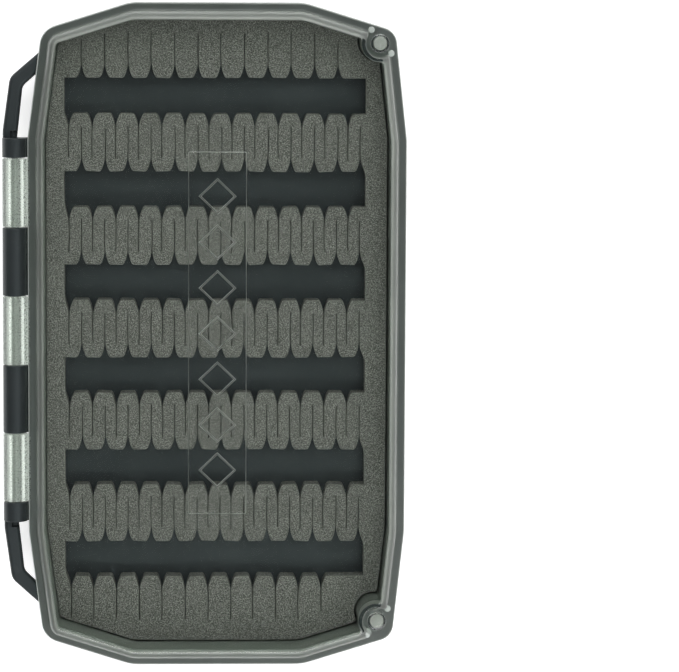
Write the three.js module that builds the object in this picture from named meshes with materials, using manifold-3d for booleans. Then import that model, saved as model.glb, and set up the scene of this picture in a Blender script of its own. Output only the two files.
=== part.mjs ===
// A hinged fly box: a charcoal base and a clear lid on one steel pin, held shut by two pairs of
// magnets, with a slit-foam insert in the base. Millimetres, +Z up, long side along Y, hinge on -X.
// The origin is the centre of the box's footprint, on the surface that it lies on.

import * as THREE from 'three';
import { mergeVertices } from 'three/addons/utils/BufferGeometryUtils.js';
import Module from 'manifold-3d';

// ---- driving dimensions ----

// Shells
const BODY_LENGTH = 184;
const BODY_WIDTH = 104.3;
const END_FLAT_HALF = 23.8; // half of each straight end
const CORNER_Y = 84.3; // where the sloped end meets the side
const CORNER_FRONT_X = 48.9; // on the opening side, from the shells' centre
const CORNER_BACK_X = 48.2; // on the hinge side
const SIDE_STRAIGHT_HALF = 54.4; // the sides are straight to here and lean in beyond
const CORNER_FRONT_RADIUS = 4.75;
const CORNER_BACK_RADIUS = 6;
const BEND_RADIUS = 14; // where the straight ends and the sides bend
const BASE_HEIGHT = 17.5; // underside to the parting plane
const LID_HEIGHT = 8.2; // parting plane to the lid's flat top
const PARTING_GAP = 0.3;
const RIM_WIDTH = 2.2;
const RIM_THICKNESS = 2;
const WALL = 1.7;
const FLOOR = 2;
const LID_PLATE = 1.7;
const BASE_DRAFT = 0.058; // inward lean of the walls for each millimetre away from the parting plane
const LID_DRAFT = 0.07;
const BASE_EDGE_RADIUS = 3;
const TRAY_EDGE_RADIUS = 0.3; // inside, where the walls meet the floor
const LID_EDGE_RADIUS = 2.2;

// Raised plain panel on the lid
const PANEL_WIDTH = 16;
const PANEL_LENGTH = 100;
const PANEL_HEIGHT = 0.3;

// Hinge: five knuckles in turn, the lid's first, between the two end blocks of the lanyard loops
const HINGE_CENTRE_Y = 1.5;
const KNUCKLE_PITCH = 19.05;
const KNUCKLE_COUNT = 5;
const KNUCKLE_RADIUS = 3.35;
const HINGE_GAP = 0.3;
const PIN_RADIUS = 1;
const PIN_CLEARANCE = 0.15;
const PIN_SETBACK = 0.8; // the pin's ends stay this far inside the end blocks
const END_BLOCK_LENGTH = 5.4;

// Lanyard loops
const LOOP_THICKNESS = 3.45;
const LOOP_ARM_WIDTH = 3.6;
const LOOP_BEND_Y = 69.6; // outer bend, from the hinge's centre
const LOOP_FOOT_Y = 77.6;
const LOOP_BEND_INSET = 1.7;

// Magnets, one pair at each corner of the opening side
const MAGNET_X = 44.35; // from the shells' centre
const MAGNET_CENTRE_Y = 1; // of the two pairs
const MAGNET_HALF_SPAN = 80.05;
const MAGNET_RADIUS = 1.9;
const MAGNET_LENGTH = 5;
const MAGNET_SETBACK = 0.15;
const POCKET_CLEARANCE = 0.2;
const BOSS_RADIUS = 2.75;
const BOSS_LENGTH = 6.5;
const CORNER_NOTCH_RADIUS = 3.75; // the walls pass round each boss at this radius

// Foam insert and the film that holds it down
const FOAM_CLEARANCE = 0.35; // between the tray's walls and the foam
const FOAM_THICKNESS = 6.4;
const FILM_THICKNESS = 0.2;
const FILM_CLEARANCE = 0.8;
const LAYER_GAP = 0.05;
const WINDOW_COUNT = 6;
const WINDOW_PITCH = 25.97;
const WINDOW_LENGTH = 83.7;
const WINDOW_WIDTH = 9.9;
const WINDOW_CENTRE = new THREE.Vector2(-0.62, 1.06); // of the whole set, from the shells' centre

// Facets
const ARC_STEPS = 6;
const ROUND_STEPS = 3;
const ROUND_FACETS = 32;
const SMALL_FACETS = 24;

// ---- derived dimensions ----

const BODY_X = KNUCKLE_RADIUS + HINGE_GAP / 2;
const HINGE_X = BODY_X - BODY_WIDTH / 2 - HINGE_GAP - KNUCKLE_RADIUS;
const BASE_RIM_TOP = BASE_HEIGHT - PARTING_GAP / 2;
const LID_RIM_BOTTOM = BASE_HEIGHT + PARTING_GAP / 2;
const LID_TOP = BASE_HEIGHT + LID_HEIGHT;
const HINGE_HALF = (KNUCKLE_COUNT * KNUCKLE_PITCH) / 2;
const MAGNET_ENDS = { upper: MAGNET_CENTRE_Y + MAGNET_HALF_SPAN, lower: MAGNET_CENTRE_Y - MAGNET_HALF_SPAN };
const FILM_BOTTOM = FLOOR + LAYER_GAP;
const FOAM_BOTTOM = FILM_BOTTOM + FILM_THICKNESS + LAYER_GAP;

// ---- materials ----

const charcoal = new THREE.MeshStandardMaterial({ color: 0x3b3f40, roughness: 0.62, metalness: 0 });
const smokeClear = new THREE.MeshStandardMaterial({
  color: 0xd3dbd5,
  roughness: 0.06,
  metalness: 0,
  transparent: true,
  opacity: 0.35,
});
const greyFoam = new THREE.MeshStandardMaterial({ color: 0x7d827e, roughness: 0.95, metalness: 0 });
const film = new THREE.MeshStandardMaterial({ color: 0xd9d6c8, roughness: 0.5, metalness: 0 });
const steel = new THREE.MeshStandardMaterial({ color: 0x9a9da0, roughness: 0.3, metalness: 1 });
const nickel = new THREE.MeshStandardMaterial({ color: 0xc8c8c6, roughness: 0.22, metalness: 1 });

// ---- solids ----

const manifold = await Module();
manifold.setup();

/** A closed geometry as a solid that can be joined and cut. */
function solid(geometry) {
  const plain = geometry.clone();
  plain.deleteAttribute('normal');
  plain.deleteAttribute('uv');
  const merged = mergeVertices(plain, 1e-4);
  return new manifold.Manifold(
    new manifold.Mesh({
      numProp: 3,
      vertProperties: new Float32Array(merged.attributes.position.array),
      triVerts: new Uint32Array(merged.index.array),
    }),
  );
}

/** A solid as a geometry again. */
function geometryOf(shape) {
  const { vertProperties, triVerts } = shape.getMesh();
  const geometry = new THREE.BufferGeometry();
  geometry.setAttribute('position', new THREE.BufferAttribute(vertProperties, 3));
  geometry.setIndex(new THREE.BufferAttribute(triVerts, 1));
  const flat = geometry.toNonIndexed();
  flat.computeVertexNormals();
  return flat;
}

function named(name, geometry, material) {
  const mesh = new THREE.Mesh(geometry, material);
  mesh.name = name;
  return mesh;
}

/** An upright cylinder or cone between two heights. */
function upright(bottomRadius, topRadius, bottom, top, x = 0, y = 0, facets = ROUND_FACETS) {
  return new THREE.CylinderGeometry(topRadius, bottomRadius, top - bottom, facets)
    .rotateX(Math.PI / 2)
    .translate(x, y, (top + bottom) / 2);
}

/** A cylinder along Y round the hinge's axis, between two places on it. */
function onHinge(radius, start, end, facets = ROUND_FACETS) {
  return new THREE.CylinderGeometry(radius, radius, end - start, facets)
    .translate(HINGE_X, (start + end) / 2, BASE_HEIGHT);
}

function block(low, high) {
  const size = new THREE.Vector3().subVectors(high, low);
  return new THREE.BoxGeometry(size.x, size.y, size.z)
    .translate((low.x + high.x) / 2, (low.y + high.y) / 2, (low.z + high.z) / 2);
}

// ---- the shells' outline ----

/** The rim's corners, anticlockwise from the hinge side's lower bend: x, y and radius. */
function rimCorners() {
  const half = BODY_WIDTH / 2;
  const end = BODY_LENGTH / 2;
  const upper = [
    [half, SIDE_STRAIGHT_HALF, BEND_RADIUS],
    [CORNER_FRONT_X, CORNER_Y, CORNER_FRONT_RADIUS],
    [END_FLAT_HALF, end, BEND_RADIUS],
    [-END_FLAT_HALF, end, BEND_RADIUS],
    [-CORNER_BACK_X, CORNER_Y, CORNER_BACK_RADIUS],
    [-half, SIDE_STRAIGHT_HALF, BEND_RADIUS],
  ];
  const lower = upper.map(([x, y, radius]) => [x, -y, radius]).reverse();
  return [...upper, ...lower];
}

/** The rim's outline moved inwards, with the same number of points whatever the inset. */
function outline(inset) {
  const corners = rimCorners().map(([x, y, radius]) => ({ at: new THREE.Vector2(x + BODY_X, y), radius }));
  const count = corners.length;
  const directions = corners.map((corner, i) =>
    new THREE.Vector2().subVectors(corners[(i + 1) % count].at, corner.at).normalize());
  const points = [];
  corners.forEach((corner, i) => {
    const before = directions[(i + count - 1) % count];
    const after = directions[i];
    const normalBefore = new THREE.Vector2(before.y, -before.x);
    const normalAfter = new THREE.Vector2(after.y, -after.x);
    const turn = Math.acos(THREE.MathUtils.clamp(before.dot(after), -1, 1));
    const bisector = new THREE.Vector2().addVectors(normalBefore, normalAfter).normalize();
    const radius = Math.max(corner.radius - inset, 0.6);
    const centre = corner.at.clone().addScaledVector(bisector, -(inset + radius) / Math.cos(turn / 2));
    const start = Math.atan2(normalBefore.y, normalBefore.x);
    for (let k = 0; k <= ARC_STEPS; k++) {
      const angle = start + (turn * k) / ARC_STEPS;
      points.push(new THREE.Vector2(centre.x + radius * Math.cos(angle), centre.y + radius * Math.sin(angle)));
    }
  });
  return points;
}

/** A closed solid through rings of equal point counts, listed from the bottom up. */
function loft(rings) {
  const count = rings[0].points.length;
  const positions = rings.flatMap(({ points, z }) => points.flatMap((p) => [p.x, p.y, z]));
  const index = [];
  for (let r = 0; r + 1 < rings.length; r++) {
    for (let i = 0; i < count; i++) {
      const a = r * count + i;
      const b = r * count + ((i + 1) % count);
      index.push(a, b, b + count, a, b + count, a + count);
    }
  }
  const top = (rings.length - 1) * count;
  const cap = (ring) => THREE.ShapeUtils.triangulateShape(ring.points, []);
  cap(rings[0]).forEach(([a, b, c]) => index.push(a, c, b));
  cap(rings.at(-1)).forEach(([a, b, c]) => index.push(top + a, top + b, top + c));
  const geometry = new THREE.BufferGeometry();
  geometry.setAttribute('position', new THREE.Float32BufferAttribute(positions, 3));
  geometry.setIndex(index);
  return geometry;
}

/** A flat plate of the shells' outline. */
function plate(inset, bottom, top) {
  const points = outline(inset);
  return loft([{ points, z: bottom }, { points, z: top }]);
}

/**
 * The drafted, round-edged form of a shell between the parting plane and its far face.
 * direction is +1 for the lid and -1 for the base.
 */
function shellForm(inset, draft, near, far, edgeRadius, direction) {
  const leanTo = (z) => inset + draft * Math.abs(z - BASE_HEIGHT);
  const rings = [{ points: outline(leanTo(near)), z: near }];
  for (let k = 0; k <= ROUND_STEPS; k++) {
    const angle = (k / ROUND_STEPS) * (Math.PI / 2);
    const z = far - direction * edgeRadius * (1 - Math.sin(angle));
    rings.push({ points: outline(leanTo(z) + edgeRadius * (1 - Math.cos(angle))), z });
  }
  return loft(direction > 0 ? rings : rings.reverse());
}

/** The space that the walls leave free round each magnet boss, as one upright cone at each corner. */
function cornerNotches(radius, draft, low, high) {
  const at = (z) => radius + draft * Math.abs(z - BASE_HEIGHT);
  return Object.values(MAGNET_ENDS)
    .map((y) => solid(upright(at(low), at(high), low, high, BODY_X + MAGNET_X, y)))
    .reduce((all, notch) => all.add(notch));
}

/** Knuckles with their webs to the rim: every other one of the row, from the given first. */
function knuckles(first, webLow, webHigh) {
  const bodies = [];
  for (let i = first; i < KNUCKLE_COUNT; i += 2) {
    const start = HINGE_CENTRE_Y - HINGE_HALF + i * KNUCKLE_PITCH + HINGE_GAP / 2;
    const end = start + KNUCKLE_PITCH - HINGE_GAP;
    const web = block(
      new THREE.Vector3(HINGE_X, start, webLow),
      new THREE.Vector3(BODY_X - BODY_WIDTH / 2 + RIM_WIDTH, end, webHigh),
    );
    bodies.push(solid(onHinge(KNUCKLE_RADIUS, start, end)).add(solid(web)));
  }
  return bodies.reduce((all, knuckle) => all.add(knuckle));
}

function pinBore() {
  const half = HINGE_HALF + END_BLOCK_LENGTH + 2;
  return solid(onHinge(PIN_RADIUS + PIN_CLEARANCE, HINGE_CENTRE_Y - half, HINGE_CENTRE_Y + half, SMALL_FACETS));
}

// ---- base ----

/** Tray with rim, two knuckles and two magnet bosses, in one moulding. */
function baseShell() {
  const far = -1;
  const outer = solid(shellForm(RIM_WIDTH, BASE_DRAFT, BASE_RIM_TOP, 0, BASE_EDGE_RADIUS, -1))
    .subtract(cornerNotches(CORNER_NOTCH_RADIUS, BASE_DRAFT, far, BASE_RIM_TOP - RIM_THICKNESS));
  const rim = solid(plate(0, BASE_RIM_TOP - RIM_THICKNESS, BASE_RIM_TOP));
  const above = BASE_HEIGHT + 1;
  const cavity = solid(
    shellForm(RIM_WIDTH + WALL, BASE_DRAFT, above, FLOOR, TRAY_EDGE_RADIUS, -1),
  ).subtract(cornerNotches(CORNER_NOTCH_RADIUS + WALL, BASE_DRAFT, far, above + 1));
  let shape = outer.add(rim).subtract(cavity);
  shape = shape.add(knuckles(1, BASE_HEIGHT - KNUCKLE_RADIUS, BASE_RIM_TOP));
  for (const y of Object.values(MAGNET_ENDS)) {
    const x = BODY_X + MAGNET_X;
    shape = shape.add(solid(upright(BOSS_RADIUS, BOSS_RADIUS, BASE_RIM_TOP - BOSS_LENGTH, BASE_RIM_TOP, x, y)));
    const pocketBottom = BASE_RIM_TOP - MAGNET_LENGTH - MAGNET_SETBACK - POCKET_CLEARANCE;
    const pocketRadius = MAGNET_RADIUS + POCKET_CLEARANCE;
    shape = shape.subtract(solid(upright(pocketRadius, pocketRadius, pocketBottom, above, x, y, SMALL_FACETS)));
  }
  return geometryOf(shape.subtract(pinBore()));
}

/** One lanyard loop: a flat bent arm from the hinge's end block back to the rim. side is +1 or -1. */
function lanyardLoop(side) {
  const back = BODY_X - BODY_WIDTH / 2;
  const lean = (BODY_WIDTH / 2 - CORNER_BACK_X) / (CORNER_Y - SIDE_STRAIGHT_HALF);
  const rimAt = (y) => back + Math.max(0, Math.abs(y) - SIDE_STRAIGHT_HALF) * lean - HINGE_GAP;
  const blockStart = HINGE_HALF + HINGE_GAP / 2;
  const blockEnd = blockStart + END_BLOCK_LENGTH;
  const outer = HINGE_X - KNUCKLE_RADIUS;
  const y = (distance) => HINGE_CENTRE_Y + side * distance;
  const footInner = LOOP_FOOT_Y - LOOP_ARM_WIDTH * Math.SQRT2;
  const bendInner = LOOP_BEND_Y - LOOP_ARM_WIDTH * 0.6;
  const corners = [
    [outer, blockStart],
    [outer, blockEnd],
    [outer + LOOP_BEND_INSET, LOOP_BEND_Y],
    [rimAt(y(LOOP_FOOT_Y)), LOOP_FOOT_Y],
    [rimAt(y(footInner)), footInner],
    [outer + LOOP_BEND_INSET + LOOP_ARM_WIDTH * 0.9, bendInner],
    [outer + LOOP_ARM_WIDTH, blockEnd],
    [rimAt(y(blockEnd)), blockEnd],
    [rimAt(y(blockStart)), blockStart],
  ].map(([x, distance]) => new THREE.Vector2(x, y(distance)));
  const arm = new THREE.ExtrudeGeometry(new THREE.Shape(corners), { depth: LOOP_THICKNESS, bevelEnabled: false })
    .translate(0, 0, BASE_RIM_TOP - LOOP_THICKNESS);
  const [low, high] = [y(blockStart), y(blockEnd)].sort((a, b) => a - b);
  const shape = solid(arm).add(solid(onHinge(KNUCKLE_RADIUS, low, high)));
  return geometryOf(shape.subtract(pinBore()));
}

function hingePin() {
  const half = HINGE_HALF + END_BLOCK_LENGTH - PIN_SETBACK;
  return new THREE.CylinderGeometry(PIN_RADIUS, PIN_RADIUS, 2 * half, SMALL_FACETS);
}

function magnetDisc() {
  return new THREE.CylinderGeometry(MAGNET_RADIUS, MAGNET_RADIUS, MAGNET_LENGTH, SMALL_FACETS).rotateX(Math.PI / 2);
}

// ---- foam insert ----

/** A sheet that follows the tray's walls at the given clearance, with the six windows cut through. */
function windowedSheet(clearance, bottom, top) {
  const wallInset = (z) => RIM_WIDTH + WALL + clearance + BASE_DRAFT * (BASE_HEIGHT - z);
  const whole = loft([{ points: outline(wallInset(bottom)), z: bottom }, { points: outline(wallInset(top)), z: top }]);
  let sheet = solid(whole)
    .subtract(cornerNotches(CORNER_NOTCH_RADIUS + WALL + clearance, BASE_DRAFT, bottom - 1, top + 1));
  for (let i = 0; i < WINDOW_COUNT; i++) {
    const x = BODY_X + WINDOW_CENTRE.x;
    const y = WINDOW_CENTRE.y + (i - (WINDOW_COUNT - 1) / 2) * WINDOW_PITCH;
    const cut = block(
      new THREE.Vector3(x - WINDOW_LENGTH / 2, y - WINDOW_WIDTH / 2, bottom - 1),
      new THREE.Vector3(x + WINDOW_LENGTH / 2, y + WINDOW_WIDTH / 2, top + 1),
    );
    sheet = sheet.subtract(solid(cut));
  }
  return geometryOf(sheet);
}

// ---- lid ----

/** Clear cover with rim, three knuckles, two magnet bosses and the raised plain panel, in one moulding. */
function lidShell() {
  const beyond = LID_TOP + 2;
  const outer = solid(shellForm(RIM_WIDTH, LID_DRAFT, LID_RIM_BOTTOM, LID_TOP, LID_EDGE_RADIUS, 1))
    .subtract(cornerNotches(CORNER_NOTCH_RADIUS, LID_DRAFT, LID_RIM_BOTTOM + RIM_THICKNESS, beyond));
  const rim = solid(plate(0, LID_RIM_BOTTOM, LID_RIM_BOTTOM + RIM_THICKNESS));
  const below = BASE_HEIGHT - 1;
  const cavity = solid(
    shellForm(RIM_WIDTH + WALL, LID_DRAFT, below, LID_TOP - LID_PLATE, LID_EDGE_RADIUS - WALL + 0.5, 1),
  ).subtract(cornerNotches(CORNER_NOTCH_RADIUS + WALL, LID_DRAFT, below - 1, beyond));
  const panel = block(
    new THREE.Vector3(BODY_X - PANEL_WIDTH / 2, HINGE_CENTRE_Y - PANEL_LENGTH / 2, LID_TOP - LID_PLATE / 2),
    new THREE.Vector3(BODY_X + PANEL_WIDTH / 2, HINGE_CENTRE_Y + PANEL_LENGTH / 2, LID_TOP + PANEL_HEIGHT),
  );
  let shape = outer.add(rim).subtract(cavity).add(solid(panel));
  shape = shape.add(knuckles(0, LID_RIM_BOTTOM, LID_RIM_BOTTOM + RIM_THICKNESS));
  for (const y of Object.values(MAGNET_ENDS)) {
    const x = BODY_X + MAGNET_X;
    shape = shape.add(solid(upright(BOSS_RADIUS, BOSS_RADIUS, LID_RIM_BOTTOM, LID_RIM_BOTTOM + BOSS_LENGTH, x, y)));
    const pocketTop = LID_RIM_BOTTOM + MAGNET_SETBACK + MAGNET_LENGTH + POCKET_CLEARANCE;
    const pocketRadius = MAGNET_RADIUS + POCKET_CLEARANCE;
    shape = shape.subtract(solid(upright(pocketRadius, pocketRadius, below, pocketTop, x, y, SMALL_FACETS)));
  }
  return geometryOf(shape.subtract(pinBore()));
}

// ---- assembly ----

const flyBox = new THREE.Group();

flyBox.add(named('base_shell', baseShell(), charcoal));
flyBox.add(named('lanyard_loop_upper', lanyardLoop(1), charcoal));
flyBox.add(named('lanyard_loop_lower', lanyardLoop(-1), charcoal));
flyBox.add(named('foam_adhesive_film', windowedSheet(FILM_CLEARANCE, FILM_BOTTOM, FILM_BOTTOM + FILM_THICKNESS), film));
flyBox.add(named('foam_insert', windowedSheet(FOAM_CLEARANCE, FOAM_BOTTOM, FOAM_BOTTOM + FOAM_THICKNESS), greyFoam));
flyBox.add(named('lid_shell', lidShell(), smokeClear));

const pin = named('hinge_pin', hingePin(), steel);
pin.position.set(HINGE_X, HINGE_CENTRE_Y, BASE_HEIGHT);
flyBox.add(pin);

const magnetPlaces = [
  ['base_magnet', BASE_RIM_TOP - MAGNET_SETBACK - MAGNET_LENGTH / 2],
  ['lid_magnet', LID_RIM_BOTTOM + MAGNET_SETBACK + MAGNET_LENGTH / 2],
];
for (const [name, z] of magnetPlaces) {
  for (const [end, y] of Object.entries(MAGNET_ENDS)) {
    const magnet = named(`${name}_${end}`, magnetDisc(), nickel);
    magnet.position.set(BODY_X + MAGNET_X, y, z);
    flyBox.add(magnet);
  }
}

export default flyBox;
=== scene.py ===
"""Looks for the fly box: a charcoal base, a clear lid, slit foam, a steel pin and four magnets.

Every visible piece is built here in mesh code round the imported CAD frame. Lengths inside the
builders are in millimetres, in the row frame, and every mesh is scaled to metres as it is made.
"""

import math
import random

import bmesh
import bpy
from mathutils import Matrix, Vector
from mathutils.geometry import tessellate_polygon


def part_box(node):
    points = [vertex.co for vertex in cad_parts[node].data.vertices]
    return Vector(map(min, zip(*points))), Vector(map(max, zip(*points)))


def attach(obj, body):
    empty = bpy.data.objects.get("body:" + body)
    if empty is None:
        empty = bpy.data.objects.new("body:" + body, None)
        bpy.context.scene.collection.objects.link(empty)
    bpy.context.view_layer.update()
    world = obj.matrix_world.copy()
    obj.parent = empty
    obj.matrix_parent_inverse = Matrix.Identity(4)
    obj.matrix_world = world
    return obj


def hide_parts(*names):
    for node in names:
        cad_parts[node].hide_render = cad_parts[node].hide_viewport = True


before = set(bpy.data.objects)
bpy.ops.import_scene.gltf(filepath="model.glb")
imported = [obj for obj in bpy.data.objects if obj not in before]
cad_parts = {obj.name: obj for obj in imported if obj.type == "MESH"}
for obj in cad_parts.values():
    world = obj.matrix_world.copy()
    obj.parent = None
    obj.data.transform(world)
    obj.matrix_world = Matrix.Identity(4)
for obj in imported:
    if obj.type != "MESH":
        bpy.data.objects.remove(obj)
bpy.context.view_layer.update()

MM = 0.001
RANDOM = random.Random(4127)


# ---------------------------------------------------------------- sizes from the frame


def low_high(node):
    """A node's lowest and highest corner, in millimetres."""
    low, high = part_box(node)
    return low / MM, high / MM


BASE_LOW, BASE_HIGH = low_high("base_shell")
LID_HIGH = low_high("lid_shell")[1]
FOAM_LOW, FOAM_HIGH = low_high("foam_insert")
PIN_LOW, PIN_HIGH = low_high("hinge_pin")

PIN_RADIUS = (PIN_HIGH.x - PIN_LOW.x) / 2
HINGE_X = (PIN_LOW.x + PIN_HIGH.x) / 2
HINGE_Y = (PIN_LOW.y + PIN_HIGH.y) / 2
HINGE_Z = (PIN_LOW.z + PIN_HIGH.z) / 2
KNUCKLE_RADIUS = HINGE_X - BASE_LOW.x

PARTING_GAP = 0.3
HINGE_GAP = 0.3
PIN_CLEARANCE = 0.15
RIM_THICKNESS = 2.0
RIM_WIDTH = 2.2
WALL = 1.7
FLOOR_THICKNESS = 2.0
LID_PLATE = 1.5
LID_WALL = 1.5
LID_CORNER_INSIDE = 0.7
TRAY_CORNER_INSIDE = 0.8
PANEL_HEIGHT = 0.3
BASE_DRAFT = 0.058
LID_DRAFT = 0.07
BASE_EDGE_RADIUS = 3.0
LID_EDGE_RADIUS = 2.2

BASE_RIM_TOP = HINGE_Z - PARTING_GAP / 2
LID_RIM_BOTTOM = HINGE_Z + PARTING_GAP / 2
LID_TOP = LID_HIGH.z - PANEL_HEIGHT

# The shells' outline, from their own centre
HALF_WIDTH = (BASE_HIGH.x - HINGE_X - KNUCKLE_RADIUS - HINGE_GAP) / 2
CENTRE_X = BASE_HIGH.x - HALF_WIDTH
HALF_LENGTH = BASE_HIGH.y
END_FLAT_HALF = 23.8
CORNER_Y = 84.3
CORNER_FRONT_X = 48.9
CORNER_BACK_X = 48.2
SIDE_STRAIGHT_HALF = 54.4
CORNER_FRONT_RADIUS = 4.75
CORNER_BACK_RADIUS = 6.0
BEND_RADIUS = 14.0

MAGNET_LOW, MAGNET_HIGH = low_high("lid_magnet_upper")
BASE_MAGNET_LOW = low_high("base_magnet_upper")[0]
MAGNET_RADIUS = (MAGNET_HIGH.x - MAGNET_LOW.x) / 2
MAGNET_PLACES = [
    Vector(((low.x + high.x) / 2, (low.y + high.y) / 2))
    for low, high in (low_high("lid_magnet_upper"), low_high("lid_magnet_lower"))
]
BOSS_RADIUS = 2.6
BOSS_LENGTH = 6.5
BOSS_SETBACK = 0.6  # from the parting plane's side of the rim
POCKET_CLEARANCE = 0.2
NOTCH_RADIUS = 3.75
NOTCH_FILLET = 0.8
NOTCH_LIP = 0.3
NOTCH_WALL = 1.2

KNUCKLE_PITCH = 19.05
KNUCKLE_COUNT = 5
END_BLOCK_LENGTH = 5.4
HINGE_HALF = KNUCKLE_COUNT * KNUCKLE_PITCH / 2
WEB_REACH = 1.2  # how far a knuckle's web runs into the rim
WEB_STEP = 0.02  # keeps a web's face off the rim's own plane


# ---------------------------------------------------------------- mesh helpers


def finish_mesh(name, bm, materials, sharp_degrees=38.0, finish_of=None):
    """Turns a bmesh in millimetres into a smooth-shaded object in metres.

    finish_of, if given, tells which of the materials a face has.
    """
    bmesh.ops.recalc_face_normals(bm, faces=bm.faces)
    for face in bm.faces:
        face.material_index = finish_of(face) if finish_of else 0
    limit = math.radians(sharp_degrees)
    for edge in bm.edges:
        edge.smooth = len(edge.link_faces) == 2 and edge.calc_face_angle(0.0) < limit
    for face in bm.faces:
        face.smooth = True
    bm.transform(Matrix.Scale(MM, 4))
    mesh = bpy.data.meshes.new(name)
    bm.to_mesh(mesh)
    bm.free()
    for material in materials:
        mesh.materials.append(material)
    piece = bpy.data.objects.new(name, mesh)
    bpy.context.scene.collection.objects.link(piece)
    weighted = piece.modifiers.new("even_shading", "WEIGHTED_NORMAL")
    weighted.keep_sharp = True
    weighted.weight = 100
    return piece


def ring(bm, points, z):
    return [bm.verts.new((p[0], p[1], z)) for p in points]


def join_rings(bm, first, second):
    count = len(first)
    for i in range(count):
        j = (i + 1) % count
        bm.faces.new((first[i], first[j], second[j], second[i]))


def round_corner(centre_d, centre_z, radius, start, end, steps):
    """(distance, height) pairs along an arc of a section, angles in degrees."""
    pairs = []
    for k in range(steps + 1):
        angle = math.radians(start + (end - start) * k / steps)
        pairs.append((centre_d + radius * math.cos(angle), centre_z + radius * math.sin(angle)))
    return pairs


def lathe_upright(bm, x, y, profile, facets=64):
    """A closed round solid about an upright axis.

    profile is a list of (radius, z) that ends on the axis at both ends.
    """
    turn = [2 * math.pi * i / facets for i in range(facets)]
    rings = []
    for radius, z in profile:
        if radius < 1e-6:
            rings.append([bm.verts.new((x, y, z))])
        else:
            points = [(x + radius * math.cos(a), y + radius * math.sin(a)) for a in turn]
            rings.append(ring(bm, points, z))
    for lower, upper in zip(rings, rings[1:]):
        for i in range(facets):
            j = (i + 1) % facets
            corners = [lower[i % len(lower)], lower[j % len(lower)]]
            corners += [upper[j % len(upper)], upper[i % len(upper)]]
            bm.faces.new(list(dict.fromkeys(corners)))


def rounded_rod_profile(radius, low, high, edge, steps=5):
    """(radius, z) pairs of a rod with rounded ends' edges."""
    bottom = round_corner(radius - edge, low + edge, edge, -90, 0, steps)
    top = round_corner(radius - edge, high - edge, edge, 0, 90, steps)
    return [(0.0, low), *bottom, *top, (0.0, high)]


def extrude_along_y(bm, outline, start, end, edge, steps=4):
    """A closed solid of an (x, z) outline along Y, its two ends rounded by edge."""
    turns = [math.radians(90 * k / steps) for k in range(steps + 1)]
    near = [(start + edge * (1 - math.cos(a)), edge * (1 - math.sin(a))) for a in turns]
    far = [(end + start - y, inset) for y, inset in reversed(near)]
    rings = []
    for y, inset in near + far:
        rings.append([bm.verts.new((p[0], y, p[1])) for p in shrink(outline, inset)])
    for first, second in zip(rings, rings[1:]):
        join_rings(bm, first, second)
    bm.faces.new(rings[0][::-1])
    bm.faces.new(rings[-1])


def shrink(outline, inset):
    """A closed outline moved inwards, point by point, by the mean of its two edges' normals."""
    count = len(outline)
    area = sum(
        outline[i][0] * outline[(i + 1) % count][1] - outline[(i + 1) % count][0] * outline[i][1]
        for i in range(count)
    )
    side = 1.0 if area > 0 else -1.0
    moved = []
    for i in range(count):
        here = Vector(outline[i])
        before = (here - Vector(outline[i - 1])).normalized()
        after = (Vector(outline[(i + 1) % count]) - here).normalized()
        inward_before = Vector((-before.y, before.x)) * side
        inward_after = Vector((-after.y, after.x)) * side
        mean = inward_before + inward_after
        scale = 2.0 / max(mean.length_squared, 0.5)
        moved.append(here + mean * inset * scale)
    return moved


def solid_object(build):
    """A throwaway object from a function that fills a bmesh, for joining and cutting."""
    bm = bmesh.new()
    build(bm)
    bmesh.ops.recalc_face_normals(bm, faces=bm.faces)
    mesh = bpy.data.meshes.new("tool")
    bm.to_mesh(mesh)
    bm.free()
    tool = bpy.data.objects.new("tool", mesh)
    bpy.context.scene.collection.objects.link(tool)
    return tool


def combine(bm, joins=(), cuts=()):
    """The solid in bm with others joined to it and cut from it.

    Each of the others is given as a function that fills a bmesh.
    """
    mesh = bpy.data.meshes.new("work")
    bm.to_mesh(mesh)
    bm.free()
    work = bpy.data.objects.new("work", mesh)
    bpy.context.scene.collection.objects.link(work)
    tools = []
    for builders, operation in ((joins, "UNION"), (cuts, "DIFFERENCE")):
        for build in builders:
            tool = solid_object(build)
            tools.append(tool)
            step = work.modifiers.new(operation, "BOOLEAN")
            step.operation = operation
            step.solver = "EXACT"
            step.object = tool
    bpy.context.view_layer.update()
    graph = bpy.context.evaluated_depsgraph_get()
    result = bmesh.new()
    result.from_mesh(work.evaluated_get(graph).to_mesh())
    for thing in (work, *tools):
        data = thing.data
        bpy.data.objects.remove(thing)
        bpy.data.meshes.remove(data)
    bmesh.ops.remove_doubles(result, verts=result.verts, dist=0.0005)
    bmesh.ops.dissolve_degenerate(result, dist=0.0003, edges=result.edges)
    return result


# ---------------------------------------------------------------- the shells' outlines

BEND_STEPS = 8
CORNER_STEPS = 14
FILLET_STEPS = 7
NOTCH_STEPS = 26


def outline_corners():
    """The rim's corners, anticlockwise: position, radius and whether a magnet sits in it."""
    upper = [
        (HALF_WIDTH, SIDE_STRAIGHT_HALF, BEND_RADIUS, False),
        (CORNER_FRONT_X, CORNER_Y, CORNER_FRONT_RADIUS, True),
        (END_FLAT_HALF, HALF_LENGTH, BEND_RADIUS, False),
        (-END_FLAT_HALF, HALF_LENGTH, BEND_RADIUS, False),
        (-CORNER_BACK_X, CORNER_Y, CORNER_BACK_RADIUS, False),
        (-HALF_WIDTH, SIDE_STRAIGHT_HALF, BEND_RADIUS, False),
    ]
    lower = [(x, -y, radius, magnet) for x, y, radius, magnet in reversed(upper)]
    return [(Vector((x + CENTRE_X, y)), radius, magnet) for x, y, radius, magnet in upper + lower]


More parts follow.
